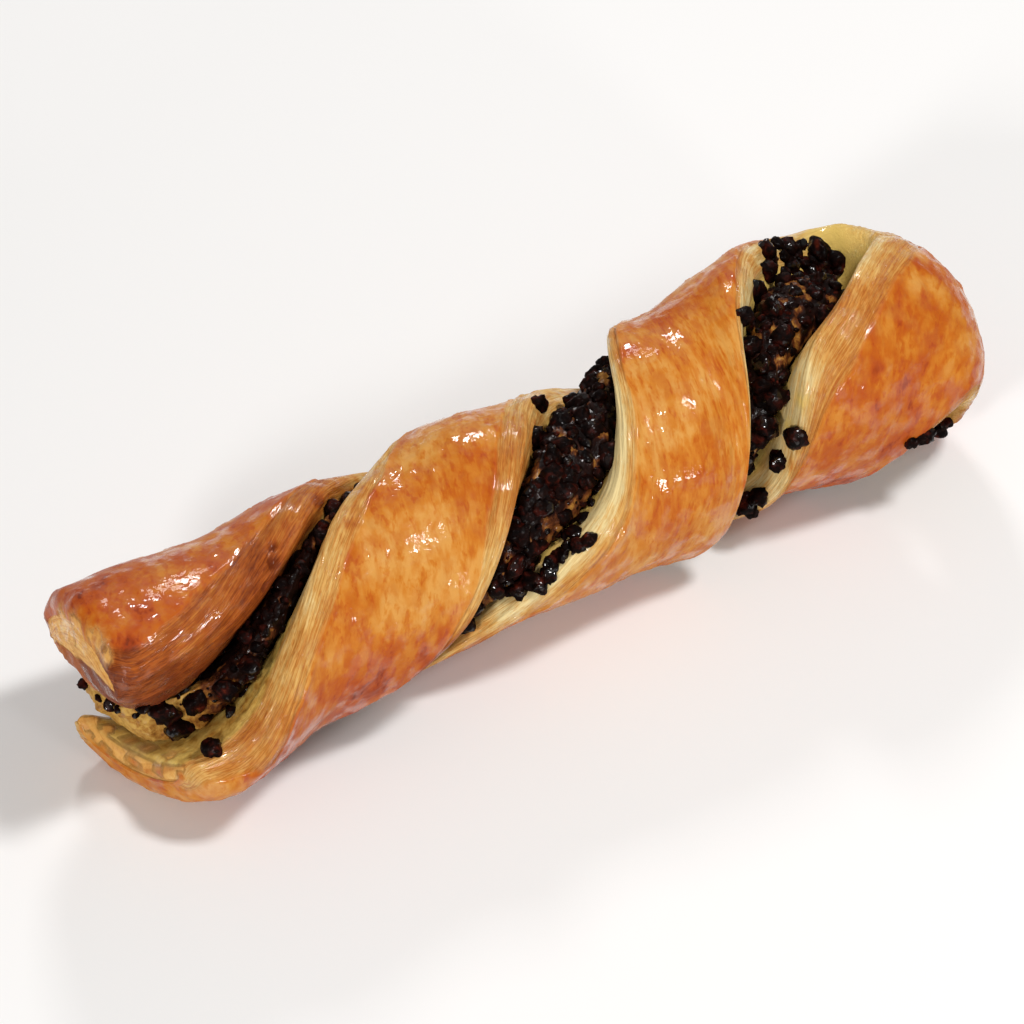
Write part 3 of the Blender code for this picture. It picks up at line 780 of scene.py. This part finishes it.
def open_places(kind, targets, draw, taken):
    """Places in the open edges for one kind of chocolate, kept apart from those already taken."""
    custard, dough = targets
    places = []
    for _ in range(kind.tries):
        x_mm = draw.uniform(0, CHOCOLATE_END_MM)
        angle = draw.uniform(0, 360)
        start = around(x_mm, 0.0, OUTSIDE_MM, angle)
        inwards = (around(x_mm, 0.0, 0.0, angle) - start).normalized()
        hit, place, normal, _ = custard.ray_cast(start, inwards)
        if not hit or x_mm < draw.uniform(6, 26):
            continue
        if noise.noise(place / (GLIMPSE_MM * MM / 2) + Vector([GLIMPSE_SHIFT] * 3)) > draw.uniform(0.1, 0.4):
            continue
        blocked, other, _, _ = dough.ray_cast(start, inwards)
        if blocked and (other - start).length < (place - start).length + 0.2 * MM:
            continue
        radius = draw.uniform(kind.low_mm, kind.high_mm) * MM
        if any((place - spot).length < (kind.spacing_mm * MM + room) / 2 for spot, room in taken):
            continue
        taken.append((place, kind.spacing_mm * MM))
        places.append((place - normal * SUNK_SHARE * radius, radius))
    return places


def scatter_chocolate(kind, places, draw, material, room):
    """Copies of a few lumps, each turned its own way, joined into one piece of this kind of chocolate."""
    models = [chocolate_lump(kind.fineness, number) for number in range(CHOCOLATE_MODELS)]
    copies = []
    for place, radius in places:
        model = draw.choice(models)
        mesh = model.data.copy()
        turn = Matrix.Rotation(draw.uniform(0, math.tau), 4, Vector([draw.uniform(-1, 1) for _ in range(3)]))
        mesh.transform(Matrix.Translation(place) @ turn @ Matrix.Scale(radius, 4))
        spots = np.array([vert.co for vert in mesh.vertices])
        inside = np.maximum(room[0] - spots.min(axis=0), 0) - np.maximum(spots.max(axis=0) - room[1], 0)
        mesh.transform(Matrix.Translation(inside))
        copy = bpy.data.objects.new(kind.name, mesh)
        bpy.context.scene.collection.objects.link(copy)
        copies.append(copy)
    bpy.ops.object.select_all(action="DESELECT")
    for model in models:
        model.select_set(True)
    bpy.ops.object.delete()
    for copy in copies:
        copy.select_set(True)
    bpy.context.view_layer.objects.active = copies[0]
    bpy.ops.object.join()
    chocolate = bpy.context.active_object
    chocolate.name = chocolate.data.name = kind.name
    bpy.ops.object.shade_smooth()
    chocolate.data.materials.clear()
    chocolate.data.materials.append(material)
    return chocolate


class Recipe:
    """A material's nodes, added one after another."""

    def __init__(self, name):
        self.material = bpy.data.materials.new(name)
        self.material.use_nodes = True
        self.tree = self.material.node_tree
        self.shader = self.tree.nodes["Principled BSDF"]

    def add(self, kind, settings=None, **inputs):
        node = self.tree.nodes.new(kind)
        for setting, value in (settings or {}).items():
            setattr(node, setting, value)
        self.feed_named(node, inputs)
        return node

    def feed_named(self, node, inputs):
        for name, value in inputs.items():
            self.feed(node.inputs[name.replace("_", " ")], value)

    def feed(self, socket, value):
        if isinstance(value, bpy.types.NodeSocket):
            self.tree.links.new(value, socket)
        else:
            socket.default_value = value

    def attribute(self, name):
        return self.add("ShaderNodeAttribute", {"attribute_name": name}).outputs

    def place(self):
        return self.add("ShaderNodeTexCoord").outputs["Object"]

    def stretched(self, vector, *scale):
        return self.add("ShaderNodeMapping", Vector=vector, Scale=scale).outputs["Vector"]

    def noise(self, vector, scale, detail, roughness, distortion=0.0):
        node = self.add("ShaderNodeTexNoise", Vector=vector, Scale=scale, Detail=detail, Roughness=roughness,
                        Distortion=distortion)
        return node.outputs["Fac"]

    def calculate(self, operation, first, second):
        node = self.add("ShaderNodeMath", {"operation": operation})
        self.feed(node.inputs[0], first)
        self.feed(node.inputs[1], second)
        return node.outputs["Value"]

    def sum(self, *terms):
        """The sum of the terms, each of them a number, a value or a (value, weight) pair."""
        total = 0.0
        for number, term in enumerate(terms):
            value = self.calculate("MULTIPLY", *term) if isinstance(term, tuple) else term
            total = self.calculate("ADD", total, value) if number else value
        return total

    def within(self, value, low, high, start=0.0, end=1.0):
        node = self.add("ShaderNodeMapRange", {"interpolation_type": "SMOOTHSTEP"}, Value=value, From_Min=low,
                        From_Max=high, To_Min=start, To_Max=end)
        return node.outputs["Result"]

    def ramp(self, value, *stops):
        node = self.add("ShaderNodeValToRGB", Fac=value)
        elements = node.color_ramp.elements
        while len(elements) < len(stops):
            elements.new(0.5)
        for element, (position, colour) in zip(elements, stops):
            element.position = position
            element.color = shade(*colour)
        return node.outputs["Color"]

    def mix(self, share, first, second):
        node = self.add("ShaderNodeMix", {"data_type": "RGBA"})
        self.feed(node.inputs[0], share)
        self.feed(node.inputs[6], first)
        self.feed(node.inputs[7], second)
        return node.outputs[2]

    def bump(self, height, depth_mm):
        node = self.add("ShaderNodeBump", Height=height, Strength=1.0, Distance=depth_mm * MM)
        return node.outputs["Normal"]

    def finish(self, **inputs):
        self.feed_named(self.shader, inputs)
        return self.material


def shade(red, green, blue):
    """A screen colour, 0 to 255 a channel, as Blender's linear colour."""
    linear = [((c / 255 + 0.055) / 1.055) ** 2.4 if c > 10 else c / 255 / 12.92 for c in (red, green, blue)]
    return (*linear, 1.0)


def dough_material():
    """Egg-glazed crust, browned unevenly, with pale laminated cut edges and custard on its inner side."""
    r = Recipe("glazed laminated dough")
    place = r.place()
    skin, strip = (r.attribute(name)["Vector"] for name in ("skin", "strip"))
    # The browned value also holds painted shade, which darkens the dough low on the sides.
    bare, inner, cut_end, brown_and_low_shade, pale, film, scorch_and_pit_shade = (
        r.attribute(name)["Fac"]
        for name in ("bare", "inner", "cut_end", "browning_and_low_shade", "paleness", "film", "scorch_and_pit_shade")
    )

    patches = r.within(r.noise(place, 85, 2, 0.5, 0.5), 0.36, 0.64)
    stretched_skin = r.stretched(skin, 1.3, 1.1, 1.0)
    mottles = r.within(r.noise(stretched_skin, 1.9, 3, 0.55, 0.3), 0.36, 0.64)
    blotches = r.within(r.noise(stretched_skin, 3.4, 3, 0.55, 0.3), 0.53, 0.68)
    freckles = r.noise(place, 900, 2, 0.5)
    # Painted shade: the pits are darkened with the scorched spots, here and in the bare layers below.
    tone = r.sum((patches, 0.16), (mottles, 0.16), (blotches, 0.13), (freckles, 0.12), (brown_and_low_shade, 0.5),
                 (scorch_and_pit_shade, 0.16), -0.08)
    crust = r.ramp(tone, (0.20, (210, 148, 70)), (0.36, (198, 121, 38)), (0.52, (184, 94, 20)),
                   (0.66, (174, 76, 20)), (0.82, (146, 54, 14)), (0.97, (84, 28, 8)))

    sheets = r.noise(r.stretched(strip, 0.3, 4.0, 1.0), 3.0, 3, 0.6, 0.3)
    threads = r.noise(r.stretched(strip, 0.45, 6.5, 1.0), 3.0, 2, 0.5, 0.3)
    seams = r.within(r.calculate("ABSOLUTE", r.sum(threads, -0.5), 0.0), 0.0, 0.06, 0.10, 0.0)
    layer_tone = r.sum((sheets, 0.4), (mottles, 0.08), (freckles, 0.1), (brown_and_low_shade, 0.45), seams, (scorch_and_pit_shade, 0.2),
                       (pale, -0.24), -0.07)
    layers = r.ramp(layer_tone, (0.20, (228, 204, 146)), (0.36, (212, 163, 90)), (0.52, (190, 120, 48)),
                    (0.70, (162, 80, 24)), (0.88, (112, 46, 12)))
    grains = r.noise(place, 900, 4, 0.7)
    crumb = r.ramp(r.sum((grains, 0.5), (sheets, 0.5), seams), (0.3, (240, 204, 132)),
                   (0.5, (228, 170, 88)), (0.72, (190, 112, 42)))
    film_tone = r.sum((r.noise(place, 350, 4, 0.6), 0.8), (pale, -0.24))
    custard = r.ramp(film_tone, (0.22, (230, 194, 104)), (0.5, (172, 122, 48)), (0.66, (120, 68, 26)),
                     (0.8, (52, 22, 10)))
    rolled = r.ramp(layer_tone, (0.3, (204, 128, 58)), (0.55, (172, 90, 30)), (0.85, (112, 46, 14)))
    colour = r.mix(bare, crust, layers)
    colour = r.mix(cut_end, colour, crumb)
    colour = r.mix(inner, colour, rolled)
    colour = r.mix(film, colour, custard)

    crinkle = r.noise(place, 480, 1, 0.4, 0.5)
    ripple = r.noise(place, 1300, 1, 0.4)
    dry = r.within(r.sum(bare, inner, cut_end), 0.0, 1.0)
    height = r.add("ShaderNodeMix", {"data_type": "FLOAT"})
    r.feed(height.inputs[0], dry)
    r.feed(height.inputs[2], r.sum(crinkle, (ripple, 0.28)))
    r.feed(height.inputs[3], r.sum((sheets, 0.9), (seams, -3.0), (ripple, 0.15)))
    normal = r.bump(height.outputs[0], 0.16)
    glazed = r.within(r.noise(place, 240, 2, 0.5), 0.45, 0.62, 0.1, 0.9)
    return r.finish(Base_Color=colour, Roughness=r.within(dry, 0.0, 1.0, 0.45, 0.55), Normal=normal,
                    Specular_IOR_Level=0.1, Coat_Weight=glazed, Coat_Roughness=0.06, Coat_Normal=normal)


def custard_material():
    """Set custard, yellow where it shows and stained by the chocolate that melted into it."""
    r = Recipe("chocolate-stained custard")
    place = r.place()
    unstained = r.attribute("unstained")["Fac"]
    stains = r.noise(place, 240, 5, 0.65, 0.8)
    grain = r.noise(place, 1100, 3, 0.6)
    tone = r.sum((stains, 0.7), (grain, 0.2), (unstained, -0.34), 0.25)
    colour = r.ramp(tone, (0.22, (198, 156, 80)), (0.34, (162, 112, 48)), (0.45, (98, 52, 24)),
                    (0.55, (36, 13, 7)), (0.75, (12, 4, 3)))
    normal = r.bump(r.sum((grain, 0.3), stains), 0.3)
    glossy = r.within(r.noise(place, 500, 1, 0.5), 0.55, 0.66, 0.03, 0.8)
    return r.finish(Base_Color=colour, Roughness=r.within(stains, 0.4, 0.6, 0.6, 0.5), Normal=normal,
                    Specular_IOR_Level=0.05, Coat_Weight=glossy, Coat_Roughness=0.08, Coat_Normal=normal)


def chocolate_material():
    """Dark chocolate, melted and set again: glossy in spots, with a crusty baked skin."""
    r = Recipe("baked dark chocolate")
    place = r.place()
    skin = r.noise(place, 420, 3, 0.6, 0.5)
    grain = r.noise(place, 1500, 1, 0.5)
    colour = r.ramp(skin, (0.36, (5, 1, 1)), (0.52, (18, 4, 2)), (0.65, (50, 13, 7)), (0.8, (96, 35, 17)))
    normal = r.bump(r.sum(r.noise(place, 600, 1, 0.5), (grain, 0.35)), 0.3)
    glossy = r.within(r.noise(place, 450, 1, 0.5), 0.56, 0.66, 0.02, 0.9)
    return r.finish(Base_Color=colour, Roughness=r.within(grain, 0.3, 0.7, 0.5, 0.7), Normal=normal,
                    Specular_IOR_Level=0.04, Coat_Weight=glossy, Coat_Roughness=0.06, Coat_Normal=normal)


def make_camera():
    """The eye of the photograph."""
    back, right, up = sight_axes()
    bpy.ops.object.camera_add(location=TARGET + back * EYE_DISTANCE)
    camera = bpy.context.active_object
    camera.name = "eye"
    camera.rotation_euler = Matrix((right, up, back)).transposed().to_euler()
    camera.data.sensor_width = SENSOR_WIDTH
    camera.data.lens = SENSOR_WIDTH * EYE_DISTANCE / VIEW_WIDTH
    camera.data.clip_start = 0.01
    bpy.context.scene.camera = camera


def sight_axes():
    """The directions back to the eye, to its right and up."""
    turn, rise = math.radians(EYE_TURN), math.radians(EYE_RISE)
    back = Vector((math.sin(turn) * math.cos(rise), -math.cos(turn) * math.cos(rise), math.sin(rise)))
    right = Vector((0, 0, 1)).cross(back).normalized()
    return back, right, back.cross(right)


def marked_places(targets, taken):
    """Places of the plainest chips: where the photograph's lines of sight through them meet the twist."""
    back, right, up = sight_axes()
    eye = TARGET + back * EYE_DISTANCE
    places = []
    for x_pixel, y_pixel, radius_mm in MARKED_CHIPS:
        right_by = (x_pixel / IMAGE_SIDE - 0.5) * VIEW_WIDTH
        up_by = (0.5 - y_pixel / IMAGE_SIDE) * VIEW_WIDTH
        sight = (TARGET + right * right_by + up * up_by - eye).normalized()
        hits = [found[1:3] for found in (target.ray_cast(eye, sight) for target in targets) if found[0]]
        if hits:
            place, normal = min(hits, key=lambda found: (found[0] - eye).length)
            taken.append((place, 2 * radius_mm * MM))
            places.append((place, radius_mm * MM))
    return places


def make_floor():
    bpy.ops.mesh.primitive_plane_add(size=6, location=(0, 0, -FLOOR_DROP))
    floor = bpy.context.active_object
    floor.name = "floor"
    material = bpy.data.materials.new("pale table")
    material.use_nodes = True
    shader = material.node_tree.nodes["Principled BSDF"]
    shader.inputs["Base Color"].default_value = (0.86, 0.85, 0.84, 1)
    shader.inputs["Roughness"].default_value = 0.7
    floor.data.materials.append(material)


def make_light(name, place, size, power):
    bpy.ops.object.light_add(type="AREA", location=place)
    light = bpy.context.active_object
    light.name = name
    light.data.size = size
    light.data.energy = power
    light.rotation_euler = (Vector(place) - LIGHTS_AIM).to_track_quat("Z", "Y").to_euler()


def light_studio():
    """Plain soft studio light, whose four small lights give the glaze its glints."""
    world = bpy.data.worlds.new("studio")
    world.use_nodes = True
    background = world.node_tree.nodes["Background"]
    background.inputs["Color"].default_value = (1, 0.98, 0.95, 1)
    background.inputs["Strength"].default_value = 0.25
    bpy.context.scene.world = world
    bpy.context.scene.view_settings.view_transform = "Standard"
    make_light("key light", (0.30, -0.25, 0.85), 0.14, 5.0)
    make_light("back light", (0.33, 0.72, 0.55), 0.14, 2.5)
    make_light("front light", (0.15, -0.9, 0.25), 0.12, 1.5)
    make_light("side light", (-0.8, -0.4, 0.45), 0.14, 4.0)


def main():
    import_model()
    bpy.ops.object.select_all(action="DESELECT")
    cad_low, cad_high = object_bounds()
    make_camera()
    light_studio()
    make_floor()
    room = np.array([cad_low, cad_high])
    dough = draw_dough(room)
    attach(dough, "root")
    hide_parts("dough")
    custard = draw_custard()
    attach(custard, "root")
    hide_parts("chocolate_filling")
    bpy.context.view_layer.update()
    draw, taken, material = random.Random(CHOCOLATE_SEED), [], chocolate_material()
    for kind in (CHIPS, NIBS, CRUMBS):
        places = marked_places((custard, dough), taken) if kind is CHIPS else []
        places += open_places(kind, (custard, dough), draw, taken)
        chocolate = scatter_chocolate(kind, places, draw, material, room)
        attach(chocolate, "root")
        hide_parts("chocolate_filling")


main()
